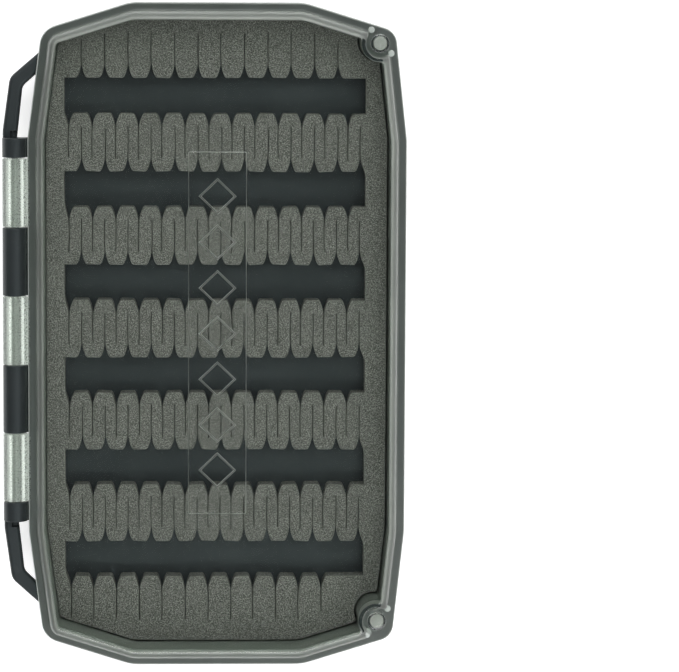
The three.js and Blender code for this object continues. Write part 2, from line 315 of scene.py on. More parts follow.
def arc_points(centre, radius, start, end, steps):
    turn = [start + (end - start) * k / steps for k in range(steps + 1)]
    return [centre + radius * Vector((math.cos(a), math.sin(a))) for a in turn]


def angle_of(vector):
    return math.atan2(vector.y, vector.x)


def after_angle(angle, reference):
    """The same direction as angle, turned to lie within one turn above reference."""
    while angle < reference:
        angle += 2 * math.pi
    while angle > reference + 2 * math.pi:
        angle -= 2 * math.pi
    return angle


def notch_points(magnet, before, after, corner, inset, hollow):
    """The wall's way round a magnet boss: a small fillet, the hollow arc and the other fillet."""
    sides = []
    for direction, sign in ((before, -1.0), (after, 1.0)):
        inward = Vector((-direction.y, direction.x))
        depth = (magnet - corner).dot(inward)
        rise = inset + NOTCH_FILLET - depth
        run = math.sqrt(max((hollow + NOTCH_FILLET) ** 2 - rise**2, 0.0))
        sides.append((magnet + inward * rise + direction * run * sign, -inward))
    (first, first_out), (second, second_out) = sides
    start = angle_of(first_out)
    end = after_angle(angle_of(magnet - first), start)
    points = arc_points(first, NOTCH_FILLET, start, end, FILLET_STEPS)
    start = angle_of(first - magnet)
    end = angle_of(second - magnet)
    end = after_angle(end, start) - 2 * math.pi
    points += arc_points(magnet, hollow, start, end, NOTCH_STEPS)[1:-1]
    start = angle_of(magnet - second)
    end = after_angle(angle_of(second_out), start)
    points += arc_points(second, NOTCH_FILLET, start, end, FILLET_STEPS)
    return points


def outline(inset, hollow=None):
    """The shells' outline moved inwards by inset, passing round the magnet bosses at the hollow radius.

    Without a hollow radius it's plain, and has fewer points.
    """
    corners = outline_corners()
    count = len(corners)
    directions = [(corners[(i + 1) % count][0] - corners[i][0]).normalized() for i in range(count)]
    points = []
    for i, (corner, radius, magnet) in enumerate(corners):
        before, after = directions[i - 1], directions[i]
        place = MAGNET_PLACES[0] if corner.y > 0 else MAGNET_PLACES[1]
        if magnet and hollow is not None:
            points += notch_points(place, before, after, corner, inset, hollow)
        else:
            steps = BEND_STEPS if radius == BEND_RADIUS else CORNER_STEPS
            points += plain_corner(corner, before, after, radius, inset, steps)
    return points


def plain_corner(corner, before, after, radius, inset, steps):
    """The arc of a rounded corner, moved inwards by inset."""
    turn = math.acos(max(-1.0, min(1.0, before.dot(after))))
    out_before = Vector((before.y, -before.x))
    out_after = Vector((after.y, -after.x))
    bisector = (out_before + out_after).normalized()
    left = max(radius - inset, 0.6)
    centre = corner - bisector * ((inset + left) / math.cos(turn / 2))
    start = angle_of(out_before)
    return arc_points(centre, left, start, start + turn, steps)


def fill_between(bm, first, second):
    """Flat faces between two rings of one height, whatever their shapes."""
    both = first + second
    for corners in tessellate_polygon([[v.co for v in first], [v.co for v in second]]):
        bm.faces.new([both[i] for i in corners])


def shell(section):
    """A closed shell swept round the outline.

    section is a list of (inset, z, hollow) from the middle of one face, over the edge and back to
    the middle of the other. The two ends are closed by flat faces, and so are the flats of the
    rim, where the section passes from the hollow outline to the plain one or back.
    """
    bm = bmesh.new()
    rings = [ring(bm, outline(inset, hollow), z) for inset, z, hollow in section]
    for first, second in zip(rings, rings[1:]):
        join = join_rings if len(first) == len(second) else fill_between
        join(bm, first, second)
    bm.faces.new(rings[0])
    bm.faces.new(rings[-1])
    bmesh.ops.recalc_face_normals(bm, faces=bm.faces)
    return bm


def on_wall(pairs, hollow):
    """Section points of a wall that passes the magnets at the radius that hollow gives for each height."""
    return [(inset, z, hollow(z)) for inset, z in pairs]


def on_rim(pairs):
    return [(inset, z, None) for inset, z in pairs]


# ---------------------------------------------------------------- material helpers


def new_material(name):
    material = bpy.data.materials.new(name)
    material.use_nodes = True
    nodes = material.node_tree.nodes
    return material, nodes, material.node_tree.links, nodes["Principled BSDF"]


def placed_noise(nodes, links, scale, detail=4.0, roughness=0.55, stretch=(1.0, 1.0, 1.0)):
    """Noise in the piece's own space, scale in features for each metre."""
    place = nodes.new("ShaderNodeTexCoord")
    mapping = nodes.new("ShaderNodeMapping")
    mapping.inputs["Scale"].default_value = stretch
    noise = nodes.new("ShaderNodeTexNoise")
    noise.inputs["Scale"].default_value = scale
    noise.inputs["Detail"].default_value = detail
    noise.inputs["Roughness"].default_value = roughness
    links.new(place.outputs["Object"], mapping.inputs["Vector"])
    links.new(mapping.outputs["Vector"], noise.inputs["Vector"])
    return noise.outputs["Fac"]


def remap(nodes, links, value, low, high, to_low, to_high):
    node = nodes.new("ShaderNodeMapRange")
    for name, number in (("From Min", low), ("From Max", high), ("To Min", to_low), ("To Max", to_high)):
        node.inputs[name].default_value = number
    links.new(value, node.inputs["Value"])
    return node.outputs["Result"]


def blend_colours(nodes, links, factor, first, second):
    """A mix of two colours, each given as numbers or as a socket."""
    mix = nodes.new("ShaderNodeMix")
    mix.data_type = "RGBA"
    links.new(factor, mix.inputs["Factor"])
    for slot, colour in (("A", first), ("B", second)):
        if isinstance(colour, tuple):
            socket = [s for s in mix.inputs if s.name == slot and s.type == "RGBA"][0]
            socket.default_value = (*colour, 1.0)
        else:
            links.new(colour, [s for s in mix.inputs if s.name == slot and s.type == "RGBA"][0])
    return [s for s in mix.outputs if s.type == "RGBA"][0]


def bump(nodes, links, shader, heights):
    """Adds layers of relief, each (height socket, strength, distance in metres)."""
    normal = None
    for height, strength, distance in heights:
        node = nodes.new("ShaderNodeBump")
        node.inputs["Strength"].default_value = strength
        node.inputs["Distance"].default_value = distance
        links.new(height, node.inputs["Height"])
        if normal is not None:
            links.new(normal, node.inputs["Normal"])
        normal = node.outputs["Normal"]
    links.new(normal, shader.inputs["Normal"])


def charcoal_plastic():
    """Moulded ABS with a fine spark-eroded texture, faintly mottled and rubbed paler here and there."""
    material, nodes, links, shader = new_material("charcoal_plastic")
    cloud = placed_noise(nodes, links, 60.0, 3.0)
    grain = placed_noise(nodes, links, 4200.0, 2.0)
    wear_and_edge_highlight = placed_noise(nodes, links, 240.0, 6.0, 0.7)
    body = blend_colours(nodes, links, remap(nodes, links, cloud, 0.3, 0.7, 0.0, 1.0),
                         (0.011, 0.0135, 0.0145), (0.016, 0.019, 0.020))
    worn = remap(nodes, links, wear_and_edge_highlight, 0.58, 0.8, 0.0, 0.35)
    links.new(blend_colours(nodes, links, worn, body, (0.034, 0.038, 0.039)), shader.inputs["Base Color"])
    links.new(remap(nodes, links, grain, 0.3, 0.7, 0.30, 0.50), shader.inputs["Roughness"])
    shader.inputs["Specular IOR Level"].default_value = 0.36
    shader.inputs["Specular Tint"].default_value = (0.84, 0.97, 1.0, 1.0)
    bump(nodes, links, shader, [(grain, 0.6, 0.00006), (cloud, 0.05, 0.0002)])
    return material


def painted_light_wall_plastic():
    """Painted light: the tray's inside walls above the foam are painted a paler grey-green, satin and
    slightly cloudy, for the light they catch through the lid.
    """
    material, nodes, links, shader = new_material("painted_light_wall_plastic")
    cloud = placed_noise(nodes, links, 80.0, 3.0)
    grain = placed_noise(nodes, links, 3500.0, 2.0)
    # painted light: the paler grey-green stands in for the light on the inside walls
    links.new(blend_colours(nodes, links, remap(nodes, links, cloud, 0.3, 0.7, 0.0, 1.0),
                            (0.105, 0.122, 0.104), (0.135, 0.152, 0.132)), shader.inputs["Base Color"])
    links.new(remap(nodes, links, grain, 0.3, 0.7, 0.34, 0.48), shader.inputs["Roughness"])
    bump(nodes, links, shader, [(grain, 0.2, 0.00003)])
    return material


def clear_plastic():
    """Polished polycarbonate with a faint grey-green tint and fine handling marks."""
    material, nodes, links, shader = new_material("clear_plastic")
    haze = placed_noise(nodes, links, 45.0, 4.0)
    marks = placed_noise(nodes, links, 900.0, 5.0, 0.75, (1.0, 0.06, 1.0))
    shader.inputs["Base Color"].default_value = (0.955, 0.975, 0.960, 1.0)
    shader.inputs["Transmission Weight"].default_value = 1.0
    shader.inputs["IOR"].default_value = 1.5
    links.new(remap(nodes, links, haze, 0.35, 0.75, 0.015, 0.05), shader.inputs["Roughness"])
    bump(nodes, links, shader, [(marks, 0.04, 0.00001)])
    return let_lamps_through(material, nodes, links, shader, (0.86, 0.885, 0.865))


def frosted_plastic(name, low, high, transmission, smooth):
    """The same polycarbonate with a fine spark-eroded texture.

    It's milky between the low and the high colour, and smooth is its least roughness.
    """
    material, nodes, links, shader = new_material(name)
    grain = placed_noise(nodes, links, 3600.0, 2.0)
    cloud = placed_noise(nodes, links, 90.0, 3.0)
    tint = blend_colours(nodes, links, remap(nodes, links, cloud, 0.3, 0.7, 0.0, 1.0),
                         low, high)
    links.new(tint, shader.inputs["Base Color"])
    shader.inputs["Transmission Weight"].default_value = transmission
    shader.inputs["IOR"].default_value = 1.5
    links.new(remap(nodes, links, grain, 0.3, 0.7, smooth, smooth + 0.16), shader.inputs["Roughness"])
    bump(nodes, links, shader, [(grain, 0.3, 0.00004)])
    return let_lamps_through(material, nodes, links, shader, (0.60, 0.65, 0.61))


def let_lamps_through(material, nodes, links, shader, tint):
    """Lamps light what is behind the clear plastic, dimmed by its tint."""
    path = nodes.new("ShaderNodeLightPath")
    clear = nodes.new("ShaderNodeBsdfTransparent")
    clear.inputs["Color"].default_value = (*tint, 1.0)
    mix = nodes.new("ShaderNodeMixShader")
    links.new(path.outputs["Is Shadow Ray"], mix.inputs["Fac"])
    links.new(shader.outputs["BSDF"], mix.inputs[1])
    links.new(clear.outputs["BSDF"], mix.inputs[2])
    links.new(mix.outputs["Shader"], nodes["Material Output"].inputs["Surface"])
    return material


def grey_foam():
    """Fine closed-cell EVA foam: speckled grey and matte, with tiny open cells and a painted highlight on
    its rounded top edges.
    """
    material, nodes, links, shader = new_material("grey_foam")
    cells = placed_noise(nodes, links, 4300.0, 2.0, 0.5)
    specks = placed_noise(nodes, links, 3700.0, 2.0, 0.5)
    cloud = placed_noise(nodes, links, 35.0, 3.0)
    body = blend_colours(nodes, links, remap(nodes, links, cloud, 0.3, 0.7, 0.0, 1.0),
                         (0.069, 0.070, 0.063), (0.082, 0.084, 0.075))
    pits = remap(nodes, links, cells, 0.42, 0.52, 0.95, 0.0)
    pitted = blend_colours(nodes, links, pits, body, (0.030, 0.031, 0.028))
    lights = remap(nodes, links, specks, 0.51, 0.61, 0.0, 0.95)
    speckled = blend_colours(nodes, links, lights, pitted, (0.22, 0.225, 0.205))
    # Painted highlight: the rounded top edges are painted paler, for the light they catch.
    place = nodes.new("ShaderNodeTexCoord")
    facing = nodes.new("ShaderNodeSeparateXYZ")
    links.new(place.outputs["Normal"], facing.inputs["Vector"])
    height = nodes.new("ShaderNodeSeparateXYZ")
    links.new(place.outputs["Object"], height.inputs["Vector"])
    top = FOAM_HIGH.z * MM
    near_top = remap(nodes, links, height.outputs["Z"], top - 0.0004, top - 0.0002, 0.0, 1.0)
    tilted = remap(nodes, links, facing.outputs["Z"], 0.97, 0.6, 0.0, 0.45)
    both = nodes.new("ShaderNodeMath")
    both.operation = "MULTIPLY"
    links.new(near_top, both.inputs[0])
    links.new(tilted, both.inputs[1])
    wear_and_edge_highlight = both.outputs["Value"]
    colour = blend_colours(nodes, links, wear_and_edge_highlight, speckled, (0.26, 0.27, 0.24))
    links.new(colour, shader.inputs["Base Color"])
    links.new(remap(nodes, links, cells, 0.3, 0.7, 0.82, 0.96), shader.inputs["Roughness"])
    shader.inputs["Specular IOR Level"].default_value = 0.25
    bump(nodes, links, shader, [(cells, 0.7, 0.00015), (specks, 0.5, 0.00025)])
    return material


def drawn_steel():
    """Bright drawn wire, with faint lines along its length."""
    material, nodes, links, shader = new_material("drawn_steel")
    lines = placed_noise(nodes, links, 5000.0, 2.0, 0.5, (1.0, 0.02, 1.0))
    shader.inputs["Metallic"].default_value = 1.0
    colour = blend_colours(nodes, links, lines, (0.36, 0.37, 0.37), (0.50, 0.51, 0.51))
    links.new(colour, shader.inputs["Base Color"])
    links.new(remap(nodes, links, lines, 0.3, 0.7, 0.2, 0.34), shader.inputs["Roughness"])
    bump(nodes, links, shader, [(lines, 0.15, 0.00002)])
    return material


def plated_nickel():
    """Satin nickel plating with a slightly uneven sheen."""
    material, nodes, links, shader = new_material("plated_nickel")
    grain = placed_noise(nodes, links, 3800.0, 3.0)
    cloud = placed_noise(nodes, links, 500.0, 3.0)
    shader.inputs["Metallic"].default_value = 1.0
    colour = blend_colours(nodes, links, cloud, (0.21, 0.22, 0.205), (0.31, 0.32, 0.30))
    links.new(colour, shader.inputs["Base Color"])
    links.new(remap(nodes, links, grain, 0.3, 0.7, 0.42, 0.58), shader.inputs["Roughness"])
    bump(nodes, links, shader, [(grain, 0.2, 0.00003)])
    return material


def adhesive_film():
    """Milky transfer adhesive under the foam."""
    material, nodes, links, shader = new_material("adhesive_film")
    cloud = placed_noise(nodes, links, 300.0, 4.0)
    colour = blend_colours(nodes, links, cloud, (0.40, 0.38, 0.31), (0.52, 0.50, 0.43))
    links.new(colour, shader.inputs["Base Color"])
    links.new(remap(nodes, links, cloud, 0.3, 0.7, 0.35, 0.6), shader.inputs["Roughness"])
    bump(nodes, links, shader, [(cloud, 0.2, 0.0001)])
    return material


# ---------------------------------------------------------------- hinge parts


def knuckle_outline(web_low, web_high, web_end, facets=56):
    """(x, z) outline of a knuckle whose web reaches the rim at web_end."""
    top = max(-1.0, min(1.0, (web_high - HINGE_Z) / KNUCKLE_RADIUS))
    bottom = max(-1.0, min(1.0, (web_low - HINGE_Z) / KNUCKLE_RADIUS))
    start = math.asin(top)
    end = 2 * math.pi + math.asin(bottom)
    points = []
    for k in range(facets + 1):
        angle = start + (end - start) * k / facets
        x = HINGE_X + KNUCKLE_RADIUS * math.cos(angle)
        points.append((x, HINGE_Z + KNUCKLE_RADIUS * math.sin(angle)))
    points += [(web_end, web_low), (web_end, web_high)]
    return points


def knuckle_spans(first):
    """(start, end) along the hinge of every other knuckle, from the given first."""
    spans = []
    for i in range(first, KNUCKLE_COUNT, 2):
        start = HINGE_Y - HINGE_HALF + i * KNUCKLE_PITCH + HINGE_GAP / 2
        spans.append((start, start + KNUCKLE_PITCH - HINGE_GAP))
    return spans


def knuckle_builders(first, web_low, web_high, web_end):
    shape = knuckle_outline(web_low, web_high, web_end)
    return [
        lambda bm, start=start, end=end: extrude_along_y(bm, shape, start, end, 0.25)
        for start, end in knuckle_spans(first)
    ]


def bore_builder(bm):
    """The pin's hole through every knuckle."""
    half = HINGE_HALF + END_BLOCK_LENGTH + 2.0
    radius = PIN_RADIUS + PIN_CLEARANCE
    circle = [2 * math.pi * k / 40 for k in range(40)]
    points = [(HINGE_X + radius * math.cos(a), HINGE_Z + radius * math.sin(a)) for a in circle]
    rings = [[bm.verts.new((x, HINGE_Y + y, z)) for x, z in points] for y in (-half, half)]
    join_rings(bm, *rings)
    bm.faces.new(rings[0])
    bm.faces.new(rings[1])


def boss_builders(low, high):
    profile = rounded_rod_profile(BOSS_RADIUS, low, high, 0.35)
    return [lambda bm, place=place: lathe_upright(bm, place.x, place.y, profile) for place in MAGNET_PLACES]


def pocket_builders(low, high):
    radius = MAGNET_RADIUS + POCKET_CLEARANCE
    profile = [(0.0, low), (radius, low), (radius, high), (0.0, high)]
    return [lambda bm, place=place: lathe_upright(bm, place.x, place.y, profile) for place in MAGNET_PLACES]


# ---------------------------------------------------------------- base


def fillet(foot, level, reach, steps=4):
    """(inset, z) pairs of the hollow rounding where a wall at foot meets a rim at level."""
    radius = abs(reach)
    pairs = []
    for k in range(steps + 1):
        angle = math.radians(90 * k / steps)
        pairs.append((foot - radius * (1 - math.sin(angle)), level + reach * (1 - math.cos(angle))))
    return pairs


def lipped(hollow, level, direction):
    """The hollow radius with a small rounded lip where the wall ends.

    It ends at level, going up (direction 1) or down (-1).
    """

    def radius(z):
        below = max(0.0, NOTCH_LIP - (level - z) * direction)
        return hollow(z) + NOTCH_LIP - math.sqrt(max(NOTCH_LIP**2 - below**2, 0.0))

    return radius


def base_section():
    """The base's section, from the middle of the floor over the rim to the middle of the underside."""

    def lean(z):
        return BASE_DRAFT * (HINGE_Z - z)

    def outside(z):
        return NOTCH_RADIUS + lean(z) * 0.3

    def inside(z):
        return NOTCH_RADIUS + NOTCH_WALL + lean(z) * 0.3

    inner = RIM_WIDTH + WALL
    rim_low = BASE_RIM_TOP - RIM_THICKNESS
    corner = TRAY_CORNER_INSIDE
    at_floor = inner + lean(FLOOR_THICKNESS + corner)
    at_lip = inner + lean(BASE_RIM_TOP)
    foot_arc = round_corner(at_floor + corner, FLOOR_THICKNESS + corner, corner, 270, 180, 5)
    section = on_wall(foot_arc, inside)
    section += on_wall(round_corner(at_lip - 0.3, BASE_RIM_TOP - 0.3, 0.3, 0, 90, 4), inside)
    section += on_rim(round_corner(0.25, BASE_RIM_TOP - 0.25, 0.25, 90, 180, 5))
    section += on_rim(round_corner(0.4, rim_low + 0.4, 0.4, 180, 270, 5))
    foot = RIM_WIDTH + lean(rim_low)
    section += on_wall(fillet(foot, rim_low, -0.6), outside)
    section += on_wall([(RIM_WIDTH + lean(z), z) for z in (11.0, 7.0)], outside)
    edge = BASE_EDGE_RADIUS
    at_edge = RIM_WIDTH + lean(edge)
    section += on_wall(round_corner(at_edge + edge, edge, edge, 180, 270, 9), lipped(outside, 0.0, -1.0))
    return section


# the second finish is painted light, a paler colour on the tray's inside walls
CHARCOAL, PAINTED_LIGHT_WALL = 0, 1


def base_finish(face):
    """Painted light: the tray's inside walls above the foam are painted paler than the charcoal rest."""
    place = face.calc_center_median()
    if place.z < FOAM_HIGH.z - 1.0 or place.x < CENTRE_X - HALF_WIDTH:
        return CHARCOAL
    outward = Vector((place.x - CENTRE_X, place.y * HALF_WIDTH / HALF_LENGTH)).normalized()
    facing = face.normal.x * outward.x + face.normal.y * outward.y
    return PAINTED_LIGHT_WALL if facing < -0.05 else CHARCOAL


def build_base(charcoal_material, painted_light_wall_material):
    bm = shell(base_section())
    web_end = CENTRE_X - HALF_WIDTH + WEB_REACH
    knuckles = knuckle_builders(1, HINGE_Z - KNUCKLE_RADIUS, BASE_RIM_TOP - WEB_STEP, web_end)
    bosses = boss_builders(BASE_RIM_TOP - BOSS_LENGTH, BASE_RIM_TOP - BOSS_SETBACK)
    pockets = pocket_builders(BASE_MAGNET_LOW.z - POCKET_CLEARANCE, BASE_RIM_TOP + 1)
    bm = combine(bm, [*knuckles, *bosses], [*pockets, bore_builder])
    piece = finish_mesh("base_tray", bm, [charcoal_material, painted_light_wall_material], finish_of=base_finish)
    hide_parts("base_shell")
    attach(piece, "base")


# ---------------------------------------------------------------- lanyard loops

LOOP_BOTTOM = 14.25
LOOP_EDGE_RADIUS = 1.1
LOOP_BEND_OUTSIDE = 69.7  # the outer bend, from the hinge's centre
LOOP_BEND_INSIDE = 67.3
LOOP_FOOT_WIDTH = 5.2


def loop_outline(side):
    """The loop's corners in plan, with the radius of each."""
    low, high = low_high("lanyard_loop_upper" if side > 0 else "lanyard_loop_lower")
    back = CENTRE_X - HALF_WIDTH
    lean = (HALF_WIDTH - CORNER_BACK_X) / (CORNER_Y - SIDE_STRAIGHT_HALF)

    def rim_at(distance):
        y = HINGE_Y + side * distance
        return back + max(0.0, abs(y) - SIDE_STRAIGHT_HALF) * lean

    block_start = HINGE_HALF + HINGE_GAP / 2
    block_end = block_start + END_BLOCK_LENGTH
    outer = low.x
    foot = (high.y - HINGE_Y) if side > 0 else (HINGE_Y - low.y)
    return [
        (outer + 0.05, block_end - 2.5, 0.0),
        (outer + 0.1, block_end + 2.0, 6.0),
        (outer + 2.1, LOOP_BEND_OUTSIDE, 4.0),
        (rim_at(foot) + 0.9, foot - 0.1, 0.0),
        (rim_at(foot - LOOP_FOOT_WIDTH) + 0.9, foot - 6.0, 0.0),
        (outer + 5.6, LOOP_BEND_INSIDE, 3.0),
        (outer + 4.0, block_end - 0.4, 0.4),
        (outer + 4.0, block_end - 2.5, 0.0),
    ]


def build_loop(name, side, material):
    """A rounded flat arm from the hinge's end block to the rim, and the block round the pin."""
    corners = []
    for x, distance, radius in loop_outline(side):
        corners.append((Vector((x, HINGE_Y + side * distance)), radius))
    points = []
    for i, (corner, radius) in enumerate(corners):
        if radius == 0.0:
            points.append(corner)
            continue
        before = (corner - corners[i - 1][0]).normalized()
        after = (corners[(i + 1) % len(corners)][0] - corner).normalized()
        turn = before.angle(after)
        reach = radius * math.tan(turn / 2)
        for k in range(9):
            t = k / 8
            start, end = corner - before * reach, corner + after * reach
            points.append(start * (1 - t) ** 2 + corner * (2 * t * (1 - t)) + end * t**2)
    top = BASE_RIM_TOP - 0.05
    bottom = LOOP_BOTTOM
    edge = LOOP_EDGE_RADIUS

    def arm(bm):
        section = []
        for k in range(7):
            angle = math.radians(90 * k / 6)
            section.append((edge * (1 - math.sin(angle)), bottom + edge * (1 - math.cos(angle))))
        for k in range(7):
            angle = math.radians(90 * k / 6)
            section.append((edge * (1 - math.cos(angle)), top - edge * (1 - math.sin(angle))))
        rings = [ring(bm, shrink(points, inset), z) for inset, z in section]
        for first, second in zip(rings, rings[1:]):
            join_rings(bm, first, second)
        bm.faces.new(rings[0])
        bm.faces.new(rings[-1])

    start = HINGE_Y + side * (HINGE_HALF + HINGE_GAP / 2)
    end = start + side * END_BLOCK_LENGTH
    low, high = sorted((start, end))
    web_end = CENTRE_X - HALF_WIDTH + 0.3
    shape = knuckle_outline(HINGE_Z - KNUCKLE_RADIUS, BASE_RIM_TOP - WEB_STEP, web_end)
    bm = bmesh.new()
    extrude_along_y(bm, shape, low, high, 0.3)
    bmesh.ops.recalc_face_normals(bm, faces=bm.faces)
    bm = combine(bm, [arm], [bore_builder])
    piece = finish_mesh(name, bm, [material])
    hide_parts("lanyard_loop_upper" if side > 0 else "lanyard_loop_lower")
    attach(piece, "base")


# ---------------------------------------------------------------- foam insert

WINDOW_COUNT = 6
WINDOW_PITCH = 25.97
WINDOW_WIDTH = 9.9
WINDOWS_CENTRE_Y = 1.06
WINDOW_LEFT = -38.97
WINDOW_RIGHT = 44.73
FINGER_PITCH = 6.45
FINGER_COUNT = 13
DOWN_SLIT_START = -37.65
UP_SLIT_START = -34.19
TIP_HALF = 1.7
NOTCH_DEPTH = 3.6
SLIT_LENGTH = 8.9
LAST_SLIT_SHARE = 0.72
SLIT_WIDTH = 0.22
FOAM_EDGE_RADIUS = 0.32
FOAM_CLEARANCE = 0.35
FOAM_SHIFT = Vector((-0.18, 0.18))
SLIT_MARGIN = 1.2  # between a slit's end and the foam's edge
FILM_EDGE_INSET = 0.45
FILM_WINDOW_GROWTH = 0.35


def foam_reach(x):
    """How far along Y the foam reaches at x, less a margin."""
    lean = BASE_DRAFT * (HINGE_Z - FOAM_HIGH.z)
    slope = (HALF_LENGTH - CORNER_Y) / (CORNER_BACK_X - END_FLAT_HALF)
    beyond = max(0.0, abs(x - CENTRE_X) - END_FLAT_HALF)
    return HALF_LENGTH - RIM_WIDTH - WALL - FOAM_CLEARANCE - lean - slope * beyond - SLIT_MARGIN


def notch_side(start, tip_y, inward, notches, pitch=FINGER_PITCH):
    """Points along one long edge of a window, left to right: a notch between every two fingers.

    inward is +1 where the foam lies above the window and -1 where it lies below. Each notch is a V
    with curved flanks, and a slit runs on into the foam from its tip.
    """
    points = []
    half = SLIT_WIDTH / 2
    for i in range(notches):
        x = start + i * pitch + RANDOM.uniform(-0.12, 0.12)
        depth = NOTCH_DEPTH * RANDOM.uniform(0.93, 1.05)
        length = SLIT_LENGTH * RANDOM.uniform(0.96, 1.03)
        if notches < FINGER_COUNT and i == notches - 1:
            length *= LAST_SLIT_SHARE
        bow = RANDOM.uniform(-0.16, 0.16)
        tip = tip_y - inward * RANDOM.uniform(-0.12, 0.12)
        length = min(length, foam_reach(x) - abs(tip) - depth)
        flank = [(pitch / 2 - TIP_HALF, 0.0), (1.12, 0.34), (0.82, 0.95)]
        flank += [(0.55, 1.7), (0.32, 2.55), (half, depth)]
        slit = [(half, depth + length * t, bow * math.sin(math.pi * t)) for t in (0.25, 0.5, 0.75, 1.0)]
        points += [(x - dx, tip + inward * dy) for dx, dy in flank]
        points += [(x - dx + shift, tip + inward * dy) for dx, dy, shift in slit]
        points += [(x + dx + shift, tip + inward * dy) for dx, dy, shift in reversed(slit)]
        points += [(x + dx, tip + inward * dy) for dx, dy in reversed(flank)]
    return [p for p in points if WINDOW_LEFT + 0.1 < p[0] < WINDOW_RIGHT - 0.1]


def window_outline(row):
    """One window, anticlockwise. Its upper notches lie half a pitch beside its lower ones."""
    middle = WINDOWS_CENTRE_Y + (row - (WINDOW_COUNT - 1) / 2) * WINDOW_PITCH
    low, high = middle - WINDOW_WIDTH / 2, middle + WINDOW_WIDTH / 2
    if row == 0:
        lower = notch_side(DOWN_SLIT_START + 0.2, low, -1.0, FINGER_COUNT - 1, FINGER_PITCH * 0.991)
    else:
        lower = notch_side(DOWN_SLIT_START, low, -1.0, FINGER_COUNT)
    top_row = row == WINDOW_COUNT - 1
    upper = notch_side(UP_SLIT_START, high, 1.0, FINGER_COUNT - 1 if top_row else FINGER_COUNT)
    start = [(WINDOW_LEFT, high), (WINDOW_LEFT, middle), (WINDOW_LEFT, low + 1.2)]
    end = [(WINDOW_RIGHT, low), (WINDOW_RIGHT, middle), (WINDOW_RIGHT, high - 1.2)]
    if top_row:
        end[-1] = (WINDOW_RIGHT, high)
    return start + lower + end + upper[::-1]


def foam_ring(bm, z, inset=0.0):
    """The foam's edge at a height, following the tray's walls and pushed a little into one corner."""
    lean = BASE_DRAFT * (HINGE_Z - z)
    reach = FOAM_CLEARANCE + inset
    points = outline(RIM_WIDTH + WALL + reach + lean, NOTCH_RADIUS + NOTCH_WALL + reach + lean * 0.3)
    return ring(bm, [point + FOAM_SHIFT for point in points], z)


WINDOWS = [window_outline(row) for row in range(WINDOW_COUNT)]


def windowed_solid(levels, edge_inset, window_growth):
    """A closed sheet with the six windows through it.

    levels are (rounding, z) pairs from the bottom up. The windows draw back by the rounding and the
    sheet's own edge by half of it, on top of the steady edge_inset and window_growth.
    """
    bm = bmesh.new()
    loops = [[foam_ring(bm, z, edge_inset + rounding * 0.5) for rounding, z in levels]]
    for shape in WINDOWS:
        loops.append([ring(bm, shrink(shape, -window_growth - rounding), z) for rounding, z in levels])
    for rings in loops:
        for first, second in zip(rings, rings[1:]):
            join_rings(bm, first, second)
    for level in (0, -1):
        borders = [rings[level] for rings in loops]
        flat = [v for border in borders for v in border]
        for corners in tessellate_polygon([[v.co for v in border] for border in borders]):
            bm.faces.new([flat[i] for i in corners])
    return bm


def build_foam(material):
    """The slit foam: six windows edged with fingers, every top edge softly rounded."""
    radius, top = FOAM_EDGE_RADIUS, FOAM_HIGH.z
    turns = [math.radians(90 * k / 5) for k in range(6)]
    rounding = [(radius * (1 - math.cos(a)), top - radius * (1 - math.sin(a))) for a in turns]
    bm = windowed_solid([(0.0, FOAM_LOW.z), *rounding], 0.0, 0.0)
    piece = finish_mesh("foam_pad", bm, [material], 50.0)
    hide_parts("foam_insert")
    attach(piece, "base")


def build_film(material):
    """The adhesive film under the foam, kept back from the windows' edges."""
    low, high = low_high("foam_adhesive_film")
    bm = windowed_solid([(0.0, low.z), (0.0, high.z)], FILM_EDGE_INSET, FILM_WINDOW_GROWTH)
    piece = finish_mesh("adhesive_sheet", bm, [material])
    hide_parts("foam_adhesive_film")
    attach(piece, "base")


# ---------------------------------------------------------------- lid


def lid_section():
    """The lid's section, from the middle of the ceiling over the rim to the middle of the top."""

    def lean(z):
        return LID_DRAFT * (z - HINGE_Z)

    def outside(z):
        return NOTCH_RADIUS + lean(z) * 0.3

    def inside(z):
        return NOTCH_RADIUS + NOTCH_WALL + lean(z) * 0.3

    inner = RIM_WIDTH + LID_WALL
    ceiling = LID_TOP - LID_PLATE
    rim_top = LID_RIM_BOTTOM + RIM_THICKNESS
    corner = LID_CORNER_INSIDE
    at_ceiling = inner + lean(ceiling - corner) + corner
    section = on_wall(round_corner(at_ceiling, ceiling - corner, corner, 90, 180, 6), inside)
    section += on_wall(round_corner(inner - 0.25, LID_RIM_BOTTOM + 0.25, 0.25, 0, -90, 4), inside)
    section += on_rim(round_corner(0.2, LID_RIM_BOTTOM + 0.2, 0.2, 270, 180, 5))
    section += on_rim(round_corner(0.55, rim_top - 0.55, 0.55, 180, 90, 6))
    section += on_wall(fillet(RIM_WIDTH + lean(rim_top), rim_top, 0.5), outside)
    edge = LID_EDGE_RADIUS
    at_edge = RIM_WIDTH + lean(LID_TOP - edge)
    section += on_wall([(RIM_WIDTH + lean(z), z) for z in (21.5, 22.6)], outside)
    shoulder = round_corner(at_edge + edge, LID_TOP - edge, edge, 180, 90, 12)
    section += on_wall(shoulder, lipped(outside, LID_TOP, 1.0))
    return section


